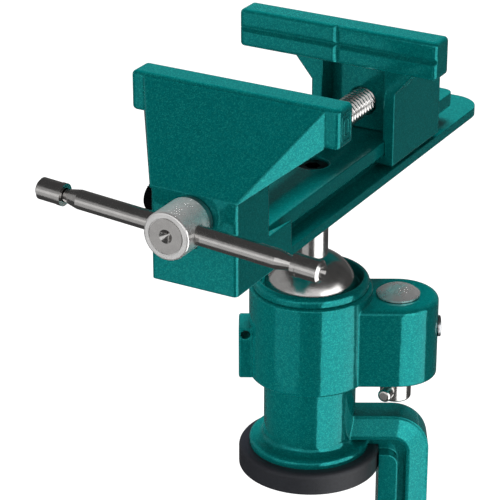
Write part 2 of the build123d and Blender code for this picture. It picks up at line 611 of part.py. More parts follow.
def rubber_foot():
    """Rubber cup round the foot flange, flat where the arm passes."""
    foot = post(RUBBER_RADIUS, 0, RUBBER_HEIGHT)
    foot = fillet(foot.edges().group_by(Axis.Z)[-1], RUBBER_ROUND)
    foot -= post(FOOT_RADIUS + STATIC_FIT, RUBBER_FLOOR, RUBBER_HEIGHT + 1)
    return foot - block(ARM_INNER - STATIC_FIT, 99, -99, 99, -1, 99)


def lock_hole(radius):
    """Cross hole of the lock bar."""
    hole = Rot(0, 0, LOCK_BAR_TURN) * bar_y(radius, -LOCK_SHAFT_RADIUS * 2, LOCK_SHAFT_RADIUS * 2)
    return Pos(BOSS_FROM_POST, 0, LOCK_BAR_HEIGHT) * hole


def lock_shaft():
    """Shaft with an eccentric waist that drives the plunger, and a cross-drilled foot."""
    low, high = PLUNGER_HEIGHT - LOCK_WAIST_HALF, PLUNGER_HEIGHT + LOCK_WAIST_HALF
    shaft = post(LOCK_SHAFT_RADIUS, LOCK_SHAFT_FOOT, low)
    shaft = fillet(shaft.edges().group_by(Axis.Z)[0], 1.0)
    shaft += post(LOCK_SHAFT_RADIUS, high, BOSS_TOP)
    shaft = Pos(BOSS_FROM_POST, 0, 0) * shaft
    shaft += post(LOCK_ECCENTRIC_RADIUS, low - 1, high + 1, x=BOSS_FROM_POST - LOCK_ECCENTRIC_THROW)
    shaft -= post(CAP_SPIGOT_RADIUS + STATIC_FIT, BOSS_TOP - CAP_SPIGOT_LENGTH, BOSS_TOP + 1, x=BOSS_FROM_POST)
    return shaft - lock_hole(LOCK_BAR_RADIUS + HANDLE_HOLE_CLEARANCE)


def lock_cap():
    """Domed head on the lock shaft's top."""
    low = BOSS_TOP + CAP_GAP
    edge = low + CAP_RIM
    rise = CAP_HEIGHT - CAP_RIM
    crown = (CAP_RADIUS**2 + rise**2) / (2 * rise)
    dome = Pos(0, 0, edge + rise - crown) * Sphere(crown) & post(CAP_RADIUS, edge, edge + CAP_HEIGHT)
    spigot = post(CAP_SPIGOT_RADIUS, BOSS_TOP - CAP_SPIGOT_LENGTH + STATIC_FIT, low)
    return Pos(BOSS_FROM_POST, 0, 0) * (post(CAP_RADIUS, low, edge) + dome + spigot)


def lock_plunger():
    """Pin between the eccentric and the ball, hollowed to the ball's curve."""
    outer = BOSS_FROM_POST - LOCK_ECCENTRIC_RADIUS - LOCK_ECCENTRIC_THROW - PLUNGER_GAP
    inner = SEAT_RADIUS + 2 * PLUNGER_GAP
    return bar_x(PLUNGER_RADIUS, inner, outer, z=PLUNGER_HEIGHT) - ball_space(PLUNGER_GAP)


def lock_keeper():
    """Low-headed screw that closes the plunger's bore and keeps the shaft in height."""
    face = BOSS_FROM_POST + BOSS_RADIUS
    tip = BOSS_FROM_POST + LOCK_ECCENTRIC_RADIUS + LOCK_ECCENTRIC_THROW + PLUNGER_GAP
    head = bar_x(PLUG_HEAD_RADIUS, face, face + PLUG_HEAD_HEIGHT)
    head = fillet(head.edges().group_by(Axis.X)[-1], 0.5)
    keeper = head + bar_x(PLUG_SHANK_RADIUS, tip + PLUG_DOG_LENGTH, face)
    keeper += bar_x(PLUG_DOG_RADIUS, tip, tip + PLUG_DOG_LENGTH)
    return Pos(0, 0, PLUNGER_HEIGHT) * keeper


def at_lock_bar(part):
    """Lock bar frame, +y pointing away along the bar, to base frame."""
    return Pos(BOSS_FROM_POST, 0, LOCK_BAR_HEIGHT) * Rot(0, 0, LOCK_BAR_TURN) * part


def lock_bar():
    """Plain bar through the lock shaft."""
    half_cap = LOCK_BAR_CAP_LENGTH / 2
    return bar_y(LOCK_BAR_RADIUS, half_cap - LOCK_BAR_NEAR, LOCK_BAR_FAR - half_cap)


def lock_bar_cap():
    """Cap of the lock bar, its closed end at y = 0, turned towards -y."""
    length = LOCK_BAR_CAP_LENGTH
    cap = bar_y(LOCK_BAR_CAP_RADIUS, 0, length)
    cap = fillet(cap.edges().group_by(Axis.Y)[0], 1.0)
    return cap - bar_y(LOCK_BAR_RADIUS + STATIC_FIT, length / 2, length + 1)


def clamp_pad():
    """Swivel pad: a disc with a hub that turns on the screw's spigot."""
    face = -CLAMP_GAP
    hub_foot = face - PAD_RECESS_DEPTH - PAD_HUB_LENGTH
    rim_foot = face - PAD_RIM
    pad = turned((0, face), (PAD_RADIUS - 0.6, face), (PAD_RADIUS, face - 0.6), (PAD_RADIUS, rim_foot),
                 (PAD_HUB_RADIUS, rim_foot - 2.4), (PAD_HUB_RADIUS - 0.6, hub_foot), (0, hub_foot))
    pad -= post(PAD_RECESS_RADIUS, face - PAD_RECESS_DEPTH, face + 1)
    return pad - post(SPIGOT_RADIUS + RUNNING_FIT, hub_foot - 1, face)


def clamp_screw():
    """Clamp screw with its spigot, ring groove and cross-drilled head."""
    shoulder = -CLAMP_GAP - PAD_RECESS_DEPTH - PAD_HUB_LENGTH - RUNNING_FIT
    foot = shoulder - CLAMP_SCREW_LENGTH
    spigot_top = -CLAMP_GAP - 0.4
    screw = post(CLAMP_SCREW_RADIUS, foot, shoulder) + post(SPIGOT_RADIUS, shoulder - 1, spigot_top)
    head = post(CLAMP_HEAD_RADIUS, foot - CLAMP_HEAD_LENGTH / 2, foot + CLAMP_HEAD_LENGTH / 2)
    screw += fillet(head.edges().filter_by(GeomType.CIRCLE), 0.8)
    low = -CLAMP_GAP - PAD_RECESS_DEPTH + RUNNING_FIT
    ring = post(SPIGOT_RADIUS + 1, low, low + RETAINER_THICKNESS)
    screw -= ring - post(SPIGOT_RADIUS - RETAINER_GROOVE_DEPTH, low - 1, low + 3)
    hole = Rot(0, 0, CLAMP_BAR_TURN) * bar_x(CLAMP_BAR_RADIUS + HANDLE_HOLE_CLEARANCE, -20, 20, z=foot)
    return screw - hole


def pad_retainer():
    """Ring in the spigot's groove that keeps the pad on."""
    low = -CLAMP_GAP - PAD_RECESS_DEPTH + RUNNING_FIT + STATIC_FIT
    high = low + RETAINER_THICKNESS - 2 * STATIC_FIT
    bore = SPIGOT_RADIUS - RETAINER_GROOVE_DEPTH + STATIC_FIT
    return post(RETAINER_RADIUS, low, high) - post(bore, low - 1, high + 1)


def at_clamp_head(part):
    """Clamp bar frame to base frame."""
    shoulder = -CLAMP_GAP - PAD_RECESS_DEPTH - PAD_HUB_LENGTH - RUNNING_FIT
    return Pos(0, 0, shoulder - CLAMP_SCREW_LENGTH) * Rot(0, 0, CLAMP_BAR_TURN) * part


def clamp_bar_cap():
    """One end cap of the clamp screw's tommy bar."""
    return bar_cap(CLAMP_BAR_LENGTH, CLAMP_BAR_NECK_RADIUS, CLAMP_CAP_LENGTH, CLAMP_CAP_RADIUS - 0.5,
                   CLAMP_CAP_RADIUS, 0)


HALF_TURN = Rot(0, 0, 180)
PARTS = {
    "clamp_frame": clamp_frame(),
    "rubber_foot": rubber_foot(),
    "socket_ring": socket_ring(),
    "lock_keeper": lock_keeper(),
    "ball_seat": ball_seat(),
    "ball_stud": Rot(0, 0, HEAD_PAN) * ball_stud(),
    "vise_bed": on_stem(vise_bed()),
    "stem_washer": stem_washer(),
    "stem_bolt": stem_bolt(),
    "screw_keeper": on_stem(screw_keeper()),
    "moving_jaw": on_stem(moving_jaw()),
    "jaw_nut": on_stem(jaw_nut()),
    "lead_screw": on_stem(lead_screw()),
    "screw_sleeve": on_stem(screw_sleeve()),
    "thrust_washer": on_stem(thrust_washer()),
    "jaw_handle_bar": on_stem(at_sleeve(tommy_bar(HANDLE_LENGTH, HANDLE_RADIUS, HANDLE_NECK_RADIUS, HANDLE_CAP_LENGTH))),
    "jaw_handle_cap_right": on_stem(at_sleeve(jaw_handle_cap(CAP_DISH_RADIUS))),
    "jaw_handle_cap_left": on_stem(at_sleeve(HALF_TURN * jaw_handle_cap(CAP_DISH_RADIUS))),
    "lock_shaft": lock_shaft(),
    "lock_cap": lock_cap(),
    "lock_plunger": lock_plunger(),
    "lock_bar": at_lock_bar(lock_bar()),
    "lock_bar_cap_near": at_lock_bar(Pos(0, -LOCK_BAR_NEAR, 0) * lock_bar_cap()),
    "lock_bar_cap_far": at_lock_bar(Pos(0, LOCK_BAR_FAR, 0) * HALF_TURN * lock_bar_cap()),
    "clamp_pad": clamp_pad(),
    "clamp_screw": clamp_screw(),
    "pad_retainer": pad_retainer(),
    "clamp_handle_bar": at_clamp_head(
        tommy_bar(CLAMP_BAR_LENGTH, CLAMP_BAR_RADIUS, CLAMP_BAR_NECK_RADIUS, CLAMP_CAP_LENGTH)),
    "clamp_handle_cap_right": at_clamp_head(clamp_bar_cap()),
    "clamp_handle_cap_left": at_clamp_head(HALF_TURN * clamp_bar_cap()),
}

os.makedirs("parts", exist_ok=True)
for name, part in PARTS.items():
    export_step(part, f"parts/{name}.step")
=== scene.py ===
"""Ball joint vise: finishes, threads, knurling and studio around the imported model.

Runs in Blender 4.5. Everything is in metres in the model's own frame: the origin is the centre of the
rubber foot's underside, +Z up, +X towards the lock boss, and the viewer stands on the -Y side.
"""

import json
import math

import bmesh
import bpy
from mathutils import Matrix, Vector


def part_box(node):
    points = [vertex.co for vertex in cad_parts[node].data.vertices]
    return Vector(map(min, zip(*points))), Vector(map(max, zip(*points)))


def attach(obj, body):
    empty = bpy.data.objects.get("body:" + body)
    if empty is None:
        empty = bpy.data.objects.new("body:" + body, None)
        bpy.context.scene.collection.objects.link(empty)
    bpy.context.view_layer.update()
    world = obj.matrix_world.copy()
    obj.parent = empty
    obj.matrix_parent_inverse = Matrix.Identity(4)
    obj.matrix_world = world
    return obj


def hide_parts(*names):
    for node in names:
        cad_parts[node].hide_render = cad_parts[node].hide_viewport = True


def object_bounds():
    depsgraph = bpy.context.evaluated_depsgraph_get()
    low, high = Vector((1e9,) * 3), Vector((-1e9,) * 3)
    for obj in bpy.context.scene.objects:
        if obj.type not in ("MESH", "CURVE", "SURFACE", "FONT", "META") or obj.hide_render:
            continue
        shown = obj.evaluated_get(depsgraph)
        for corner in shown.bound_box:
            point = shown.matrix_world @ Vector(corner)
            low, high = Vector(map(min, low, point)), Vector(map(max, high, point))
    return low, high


bl_info = {
    "name": "Ball Joint Vise",
    "version": (1, 0, 0),
    "blender": (4, 5, 0),
    "location": "3D View > Sidebar > Vise",
    "description": "Builds the finishes, screw threads, knurling and studio of a small ball joint vise",
    "category": "Object",
}

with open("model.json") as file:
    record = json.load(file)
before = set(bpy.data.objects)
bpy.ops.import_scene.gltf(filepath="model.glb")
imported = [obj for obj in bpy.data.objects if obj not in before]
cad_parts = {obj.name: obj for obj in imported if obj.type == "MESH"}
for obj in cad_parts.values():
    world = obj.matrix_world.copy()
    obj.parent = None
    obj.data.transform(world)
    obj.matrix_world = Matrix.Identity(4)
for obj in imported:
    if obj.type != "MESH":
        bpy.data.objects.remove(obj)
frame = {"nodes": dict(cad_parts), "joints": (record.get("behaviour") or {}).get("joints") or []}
CAD_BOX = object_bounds()
JOINTS = {joint["name"]: joint for joint in frame["joints"]}
MM = 0.001

# Shapes: how far a core stays under its thread, and how near to a place a point has to be to belong to it
CORE_GAP = 0.05 * MM
BAR_END_BAND = 0.1 * MM
POCKET_TOP_BAND = 0.5 * MM

# From the fixed jaw's face back to the stem
STEM_FROM_JAW = 54.7 * MM

# Steps round a thread, along one turn of it, and round a corner
THREAD_COLUMNS = 56
ROWS_PER_TURN = 12
CORNER_STEPS = 6

# Studio, in metres: the point that the lamps face, and a floor under the clamp's handle at its lowest
AIM = Vector((0.0, 0.0, 0.06))
FLOOR_HEIGHT = CAD_BOX[0].z + JOINTS["pad_travel"]["range_m"][0]
FLOOR_SIZE = 14
CLIP_NEAR = 0.05
CLIP_FAR = 50

# The floor's own glow and the share of it that the camera sees
FLOOR_GLOW = 1.2
FLOOR_GLOW_SHARE = 0.85

# Lamps: name, azimuth and elevation in degrees, distance, width, height, setting of its radiance, and
# whether it shows in gloss or else lights the colours
LAMPS = (
    ("softbox", 51, -12, 0.21, 0.25, 0.36, "softbox_power", True),
    ("fill", -45, -8, 0.4, 0.34, 0.4, "fill_power", True),
    ("key", -45, 15, 1.0, 0.6, 0.6, "key_power", False),
    ("rear", 170, 52, 1.1, 0.6, 0.6, "rear_power", False),
)

# Cards that only show in gloss: name, place, width, height, facing and radiance
CARDS = (
    ("ceiling_card", (0, 0, 1.3), 3.2, 3.2, (0, 0, -1), 0.07),
    ("floor_card", (0, 0, FLOOR_HEIGHT + MM), 3.2, 3.2, (0, 0, 1), 0.07),
    ("far_card", (0, 1.6, 0.6), 3.2, 1.4, (0, -1, 0), 0.1),
    ("right_card", (1.6, 0, 0.6), 3.2, 1.4, (-1, 0, 0), 0.07),
    ("left_card", (-1.6, 0, 0.6), 3.2, 1.4, (1, 0, 0), 0.4),
)


def hex_colour(code):
    """sRGB hex colour as the linear red, green, blue and alpha that Blender works in."""
    parts = [int(code[i:i + 2], 16) / 255 for i in (1, 3, 5)]
    linear = [c / 12.92 if c <= 0.04045 else ((c + 0.055) / 1.055) ** 2.4 for c in parts]
    return (*linear, 1.0)


def colour_setting(name, code, description):
    """Colour property with an sRGB hex default."""
    return bpy.props.FloatVectorProperty(
        name=name, description=description, subtype="COLOR", size=4, min=0.0, max=1.0,
        default=hex_colour(code))


def length_setting(name, millimetres, description):
    """Length property with its default given in millimetres."""
    return bpy.props.FloatProperty(
        name=name, description=description, subtype="DISTANCE", unit="LENGTH", min=0.0,
        precision=5, default=millimetres * MM)


class FinishSettings(bpy.types.PropertyGroup):
    """Colours of the vise's finishes and the sizes of their grain."""

    enamel: colour_setting("Enamel", "#007676", "Flake enamel on the castings")
    # Painted glint: the lighter teal that random flake cells are painted towards, in place of light that
    # flakes catch
    enamel_painted_glint: colour_setting("Enamel glint", "#26A79C", "Brightest flakes in the enamel")
    flake: length_setting("Flake", 0.27, "Size of a flake group that still shows at this distance")
    edge_round: length_setting("Edge round", 0.8, "Radius that the enamel gives the castings' edges")
    rubber: colour_setting("Rubber", "#1F2127", "Moulded rubber of the foot")
    nickel: colour_setting("Nickel plate", "#C6C4C2", "Polished plate on the ball and bars")
    satin: colour_setting("Satin plate", "#E8E7E6", "Plated steel left as turned")
    zinc: colour_setting("Zinc plate", "#B4B6B8", "Zinc plated clamp screw and pad")
    oxide: colour_setting("Black oxide", "#17181B", "Blackened steel of the socket screws")
    brass: colour_setting("Brass", "#B08D4A", "Machined brass nut and ball seat")


class ThreadSettings(bpy.types.PropertyGroup):
    """Sizes of the screw threads and the knurled head."""

    lead_pitch: length_setting("Lead screw pitch", 2.0, "Distance between threads of the lead screw")
    lead_depth: length_setting("Lead screw depth", 0.85, "Depth of the lead screw's thread")
    clamp_pitch: length_setting("Clamp screw pitch", 1.75, "Distance between threads of the clamp screw")
    clamp_depth: length_setting("Clamp screw depth", 0.9, "Depth of the clamp screw's thread")
    knurl_depth: length_setting("Knurl depth", 0.3, "Depth of the ridges on the keeper screw's head")
    knurl_count: bpy.props.IntProperty(
        name="Knurl ridges", description="Ridges round the keeper screw's head", default=30, min=8)


class FormSettings(bpy.types.PropertyGroup):
    """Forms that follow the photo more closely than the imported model, heights over the bed's underside."""

    rail_top: length_setting("Rail top", 13.8, "Height of the rail's flat top")
    rail_drop: length_setting("Rail drop", 4.0, "How far the rail's underside and the jaw's slot come down")
    rail_band_low: length_setting("Rail band low", 12.0, "Lowest height that belongs to the packed rail")
    rail_band_high: length_setting("Rail band high", 18.5, "Highest height that belongs to the packed rail")
    rail_reach: length_setting("Rail reach", 14.0, "Half width within which a point belongs to the rail")
    trough_level: length_setting("Trough level", 15.0, "Height between the packed rail's underside and top")
    land_end: length_setting("Land end", 10.9, "Where the rail's underside starts behind the fixed jaw")
    column_foot: length_setting("Column foot", 7.0, "Height below which a point belongs to the column's foot")
    foot_drop: length_setting("Foot drop", 1.6, "How far the column's foot comes down towards the flange")
    column_front: length_setting("Column front", 81.9, "Where the moving jaw's column starts behind its bar")
    column_back: length_setting("Column back", 115.0, "Where the column's rear face starts")
    column_setback: length_setting("Column setback", 2.1, "How far the column stands back")
    column_stretch: bpy.props.FloatProperty(
        name="Column stretch", description="Share by which the column is longer", default=0.11, min=0.0)
    rear_edge: length_setting("Rear edge", 29.5, "Height above which a point belongs to the rear face's edge")
    back_rise: length_setting("Back rise", 4.0, "How much higher the column's rear edge is")
    pocket_reach: length_setting("Pocket reach", 12.2, "Half width within which a point is in the pocket")
    pocket_top: length_setting("Pocket top", 32.0, "Height of the packed pocket's top")
    pocket_rise: length_setting("Pocket rise", 12.4, "How far the pocket goes up, to the bar's underside")
    wall_half: length_setting("Wall half width", 12.0, "Half width of the pocket's rear wall")
    wall_rise: length_setting("Wall rise", 0.3, "How far that wall stands in front of the nut")
    wall_hole: length_setting("Wall hole", 5.3, "Radius of that wall's hole for the lead screw")
    border_height: length_setting("Border height", 9.6, "Height of the border on the fixed bar's right end")
    border_width: length_setting("Border width", 6.4, "Width of that border")
    border_corner: length_setting("Border corner", 1.8, "Corner radius of that border")
    border_line: length_setting("Border line", 0.45, "Width of the border's and the oval's raised lines")
    border_rise: length_setting("Border rise", 0.15, "How far those lines stand out")
    oval_height: length_setting("Oval height", 6.2, "Height of the oval in the border")
    oval_width: length_setting("Oval width", 3.2, "Width of the oval")
    well_radius: length_setting("Well radius", 17.4, "Radius of the well in the ring round the ball")
    well_floor: length_setting("Well floor", 69.8, "Height of the well's lip over the rubber foot's bottom")
    keeper_advance: length_setting("Keeper advance", 4.0, "How much nearer to the front the keeper sits")
    cap_growth: bpy.props.FloatProperty(
        name="Cap growth", description="Radius of the tommy bar's caps against the packed one",
        default=1.17, min=1.0)
    cap_radius: length_setting("Cap radius", 3.75, "Largest radius of the tommy bar's caps")


class StudioSettings(bpy.types.PropertyGroup):
    """Camera, lamps and backdrop."""

    frame_pixels: bpy.props.IntProperty(
        name="Frame", description="Width of the square picture in pixels", default=500)
    focal_pixels: bpy.props.FloatProperty(
        name="Focal length", description="Focal length in pixels of that picture", default=2269.6)
    sensor: length_setting("Sensor", 36.0, "Width of the camera's sensor")
    eye: bpy.props.FloatVectorProperty(
        name="Eye", description="Camera's place", subtype="TRANSLATION", unit="LENGTH", precision=5,
        default=(-0.01772, -0.71332, 0.40834))
    heading: bpy.props.FloatProperty(
        name="Heading", description="Camera's turn from +Y towards +X", subtype="ANGLE",
        default=math.radians(-0.283))
    tilt: bpy.props.FloatProperty(
        name="Tilt", description="How far the camera looks down", subtype="ANGLE",
        default=math.radians(24.53))
    floor: colour_setting("Floor", "#F4F4F4", "Pale studio floor")
    air: bpy.props.FloatProperty(
        name="Air", description="Radiance of the even light from all sides", default=0.4, min=0.0)
    softbox_power: bpy.props.FloatProperty(
        name="Softbox", description="Radiance of the tall softbox on the right, seen in gloss",
        default=2.5, min=0.0)
    fill_power: bpy.props.FloatProperty(
        name="Fill", description="Radiance of the slim lamp on the left, seen in gloss",
        default=0.5, min=0.0)
    key_power: bpy.props.FloatProperty(
        name="Key", description="Radiance of the lamp in front on the left", default=2.8, min=0.0)
    rear_power: bpy.props.FloatProperty(
        name="Rear", description="Radiance of the lamp above behind the vise", default=24.0, min=0.0)


def finishes():
    """The scene's colours and grain sizes."""
    return bpy.context.scene.vise_finishes


def add(tree, kind, inputs=None, **fields):
    """Adds a node and sets its fields. An input that is given a socket is linked, any other is set."""
    made = tree.nodes.new(kind)
    for name, value in fields.items():
        setattr(made, name, value)
    for name, value in (inputs or {}).items():
        if isinstance(value, bpy.types.NodeSocket):
            tree.links.new(value, made.inputs[name])
        else:
            made.inputs[name].default_value = value
    return made


def new_material(name, **shader_values):
    """Material with one Principled shader, whose constants are set on its own sockets."""
    material = bpy.data.materials.new(name)
    material.use_nodes = True
    tree = material.node_tree
    tree.nodes.clear()
    shader = add(tree, "ShaderNodeBsdfPrincipled",
                 {key.replace("_", " "): value for key, value in shader_values.items()})
    add(tree, "ShaderNodeOutputMaterial", {"Surface": shader.outputs["BSDF"]})
    return material, tree, shader


def place(tree):
    """Object coordinates, in metres in the model's frame."""
    return add(tree, "ShaderNodeTexCoord").outputs["Object"]


def blotches(tree, size, low, high, detail=2.0):
    """Soft noise with spots of a real size, mapped to a range."""
    noise = add(tree, "ShaderNodeTexNoise", {"Vector": place(tree), "Scale": 1 / size, "Detail": detail})
    return add(tree, "ShaderNodeMapRange", {"Value": noise.outputs["Fac"], "From Min": 0.3, "From Max": 0.7,
                                            "To Min": low, "To Max": high}).outputs["Result"]


def relief(tree, height, depth, under=None):
    """Bump of a real depth."""
    inputs = {"Height": height, "Strength": 1.0, "Distance": depth}
    if under is not None:
        inputs["Normal"] = under
    return add(tree, "ShaderNodeBump", inputs).outputs["Normal"]


def blend_colours(tree, factor, first, second):
    """Colour between two colours or sockets."""
    mix = add(tree, "ShaderNodeMix", data_type="RGBA")
    for socket, value in ((mix.inputs[0], factor), (mix.inputs[6], first), (mix.inputs[7], second)):
        if isinstance(value, bpy.types.NodeSocket):
            tree.links.new(value, socket)
        else:
            socket.default_value = value
    return mix.outputs[2]


def flake_enamel():
    """Metallic-flake stoving enamel, sprayed on cast metal.

    Gives a deep teal with a fine sparkle, a wet gloss and the faint waviness of a sprayed casting.
    The sparkle is painted glints: random cells painted towards a lighter teal, as flakes that catch
    the light, with a slight tilt of the normal in each cell.
    Real flakes are under 0.1 mm; they are drawn in groups as coarse as they need to be to show.
    """
    colours = finishes()
    material, tree, shader = new_material(
        "flake_enamel", Metallic=0.45, Roughness=0.07, Specular_IOR_Level=0.15)
    # Painted glints: cells with a high red value are painted towards the glint colour, standing in for flakes
    # that catch the light; the green value tilts the normal
    cells = add(tree, "ShaderNodeTexVoronoi", {"Vector": place(tree), "Scale": 1 / colours.flake})
    spark = add(tree, "ShaderNodeSeparateColor", {"Color": cells.outputs["Color"]})
    painted_glint = add(tree, "ShaderNodeMapRange", {
        "Value": spark.outputs["Red"], "From Min": 0.6, "From Max": 1.0, "To Min": 0.0, "To Max": 0.6})
    shade = add(tree, "ShaderNodeHueSaturation", {
        "Color": tuple(colours.enamel), "Value": blotches(tree, size=1.1 * MM, low=0.9, high=1.08)})
    colour = blend_colours(
        tree, painted_glint.outputs["Result"], shade.outputs["Color"], tuple(colours.enamel_painted_glint))
    tree.links.new(colour, shader.inputs["Base Color"])
    rounded = add(tree, "ShaderNodeBevel", {"Radius": colours.edge_round}, samples=8)
    swell = blotches(tree, size=3.5 * MM, low=0.0, high=1.0)
    waves = relief(tree, swell, depth=0.02 * MM, under=rounded.outputs["Normal"])
    tilted = relief(tree, spark.outputs["Green"], depth=0.004 * MM, under=waves)
    tree.links.new(tilted, shader.inputs["Normal"])
    return material


def moulded_rubber():
    """Nitrile rubber from a lightly blasted mould: charcoal, with a broad soft sheen."""
    colours = finishes()
    material, tree, shader = new_material("moulded_rubber", Roughness=0.55, Specular_IOR_Level=0.35)
    colour = add(tree, "ShaderNodeHueSaturation", {
        "Color": tuple(colours.rubber), "Value": blotches(tree, size=0.8 * MM, low=0.85, high=1.15)})
    tree.links.new(colour.outputs["Color"], shader.inputs["Base Color"])
    blasted = blotches(tree, size=0.35 * MM, low=0.0, high=1.0)
    tree.links.new(relief(tree, blasted, depth=0.02 * MM), shader.inputs["Normal"])
    return material


def metal(name, colour, roughness, spread, grain=0.5 * MM, depth=0.004 * MM, metallic=1.0):
    """Bare or plated metal: roughness wanders over fingertip-sized spots, with a fine machined grain."""
    material, tree, shader = new_material(name, Metallic=metallic)
    shade = add(tree, "ShaderNodeHueSaturation", {
        "Color": tuple(colour), "Value": blotches(tree, size=2.5 * MM, low=0.93, high=1.04)})
    tree.links.new(shade.outputs["Color"], shader.inputs["Base Color"])
    rough = blotches(tree, size=4.0 * MM, low=roughness - spread, high=roughness + spread, detail=4.0)
    tree.links.new(rough, shader.inputs["Roughness"])
    turning = blotches(tree, size=grain, low=0.0, high=1.0)
    tree.links.new(relief(tree, turning, depth), shader.inputs["Normal"])
    return material


def nickel_plate():
    """Nickel-chrome plate on polished steel: a near mirror with slight clouds."""
    return metal("nickel_plate", finishes().nickel, roughness=0.2, spread=0.05)


def turned_nickel():
    """Plated after turning, unpolished: the same metal with a satin face."""
    return metal("turned_nickel", finishes().satin, roughness=0.28, spread=0.05,
                 grain=0.4 * MM, metallic=0.8)


def zinc_plate():
    """Bright zinc plate: greyer and softer than nickel."""
    return metal("zinc_plate", finishes().zinc, roughness=0.32, spread=0.06,
                 grain=0.4 * MM, depth=0.008 * MM)


def black_oxide():
    """Blackened alloy steel, slightly oily."""
    return metal("black_oxide", finishes().oxide, roughness=0.4, spread=0.06,
                 grain=0.3 * MM, depth=0.006 * MM)


def machined_brass():
    """Turned brass, lightly tarnished."""
    return metal("machined_brass", finishes().brass, roughness=0.28, spread=0.06)


def coat_nodes(material, *nodes):
    """Gives CAD nodes a material."""
    for name in nodes:
        mesh = frame["nodes"][name].data
        mesh.materials.clear()
        mesh.materials.append(material)


def soften(mesh, degrees=30.0):
    """Smooth shading with sharp edges above an angle, in place of any stored normals."""
    if mesh.has_custom_normals:
        mesh.attributes.remove(mesh.attributes["custom_normal"])
    mesh.shade_smooth()
    mesh.set_sharp_from_angle(angle=math.radians(degrees))


def make_piece(name, mesh, body, slot, material, *nodes):
    """Finished piece at the origin, riding on a body in place of CAD nodes."""
    piece = bpy.data.objects.new(name, mesh)
    bpy.context.scene.collection.objects.link(piece)
    mesh.materials.clear()
    mesh.materials.append(material)
    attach(piece, body)
    if nodes:
        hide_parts(*nodes)


def axis_frame(origin, direction):
    """Matrix that takes a piece drawn along +Z to a place and direction."""
    turn = Vector(direction).to_track_quat("Z", "Y").to_matrix().to_4x4()
    return Matrix.Translation(Vector(origin)) @ turn


def points_in(mesh, matrix):
    """Places of a mesh's vertices in a frame."""
    inverse = matrix.inverted()
    return [inverse @ vertex.co for vertex in mesh.vertices]


def node_points(name, matrix):
    """Places of a CAD node's vertices in a frame."""
    return points_in(frame["nodes"][name].data, matrix)


def merged_copy(name):
    """Copy of a CAD node's mesh with its loose triangles joined."""
    mesh = frame["nodes"][name].data.copy()
    shape = bmesh.new()
    shape.from_mesh(mesh)
    bmesh.ops.remove_doubles(shape, verts=shape.verts, dist=0.001 * MM)
    shape.to_mesh(mesh)
    shape.free()
    return mesh


def plain_mesh(tree, name, values):
    """Runs a Geometry Nodes tree with the given inputs and returns its result as a plain mesh."""
    host = bpy.data.objects.new(name, bpy.data.meshes.new(name + "_host"))
    bpy.context.scene.collection.objects.link(host)
    modifier = host.modifiers.new("grow", "NODES")
    modifier.node_group = tree
    for socket in tree.interface.items_tree:
        if socket.item_type == "SOCKET" and socket.in_out == "INPUT" and socket.name in values:
            modifier[socket.identifier] = values[socket.name]
    evaluated = host.evaluated_get(bpy.context.evaluated_depsgraph_get())
    mesh = bpy.data.meshes.new_from_object(evaluated)
    host.modifiers.clear()
    bpy.data.objects.remove(host)
    return mesh


def tree_with_inputs(name, lengths, counts):
    """Empty Geometry Nodes tree with named inputs, a material input and a geometry output."""
    tree = bpy.data.node_groups.new(name, "GeometryNodeTree")
    tree.interface.new_socket("Geometry", in_out="OUTPUT", socket_type="NodeSocketGeometry")
    for label in lengths:
        tree.interface.new_socket(label, in_out="INPUT", socket_type="NodeSocketFloat")
    for label in counts:
        tree.interface.new_socket(label, in_out="INPUT", socket_type="NodeSocketInt")
    tree.interface.new_socket("Material", in_out="INPUT", socket_type="NodeSocketMaterial")
    return tree, add(tree, "NodeGroupInput").outputs


def end_tree(tree, geometry, material):
    """Closing nodes of a tree: real geometry with its material."""
    real = add(tree, "GeometryNodeRealizeInstances", {"Geometry": geometry})
    dressed = add(tree, "GeometryNodeSetMaterial", {"Geometry": real.outputs[0], "Material": material})
    add(tree, "NodeGroupOutput", {0: dressed.outputs[0]})


def thread_tree():
    """Rod along +Z with a trapezoidal thread: its radius follows the height and the angle round the rod."""
    tree, given = tree_with_inputs(
        "screw_thread", ("Radius", "Depth", "Length", "Pitch", "Chamfer"), ("Rows", "Columns"))

    def maths(operation, first, second=0.0):
        return add(tree, "ShaderNodeMath", {0: first, 1: second}, operation=operation).outputs[0]

    rod = add(tree, "GeometryNodeMeshCylinder", {
        "Vertices": given["Columns"], "Side Segments": given["Rows"], "Radius": given["Radius"],
        "Depth": given["Length"]})
    middle = add(tree, "ShaderNodeCombineXYZ", {"Z": maths("MULTIPLY", given["Length"], 0.5)})
    standing = add(tree, "GeometryNodeTransform", {
        "Geometry": rod.outputs["Mesh"], "Translation": middle.outputs[0]})
    where = add(tree, "ShaderNodeSeparateXYZ", {0: add(tree, "GeometryNodeInputPosition").outputs[0]})
    angle = maths("ARCTAN2", where.outputs["Y"], where.outputs["X"])
    turns = maths("SUBTRACT", maths("DIVIDE", where.outputs["Z"], given["Pitch"]),
                  maths("DIVIDE", angle, 2 * math.pi))
    wave = maths("PINGPONG", maths("MULTIPLY", turns, 2.0), 1.0)
    flank = add(tree, "ShaderNodeMapRange", {"Value": wave, "From Min": 0.2, "From Max": 0.75})
    ridge = maths("SUBTRACT", given["Radius"], maths("MULTIPLY", given["Depth"], flank.outputs["Result"]))
    from_end = maths("MINIMUM", where.outputs["Z"], maths("SUBTRACT", given["Length"], where.outputs["Z"]))
    chamfer = maths("ADD", maths("SUBTRACT", given["Radius"], given["Chamfer"]), from_end)
    radius = maths("MINIMUM", ridge, chamfer)
    moved = add(tree, "ShaderNodeCombineXYZ", {
        "X": maths("MULTIPLY", maths("COSINE", angle), radius),
        "Y": maths("MULTIPLY", maths("SINE", angle), radius), "Z": where.outputs["Z"]})
    cut = add(tree, "GeometryNodeSetPosition", {
        "Geometry": standing.outputs[0], "Position": moved.outputs[0]})
    end_tree(tree, cut.outputs[0], given["Material"])
    return tree


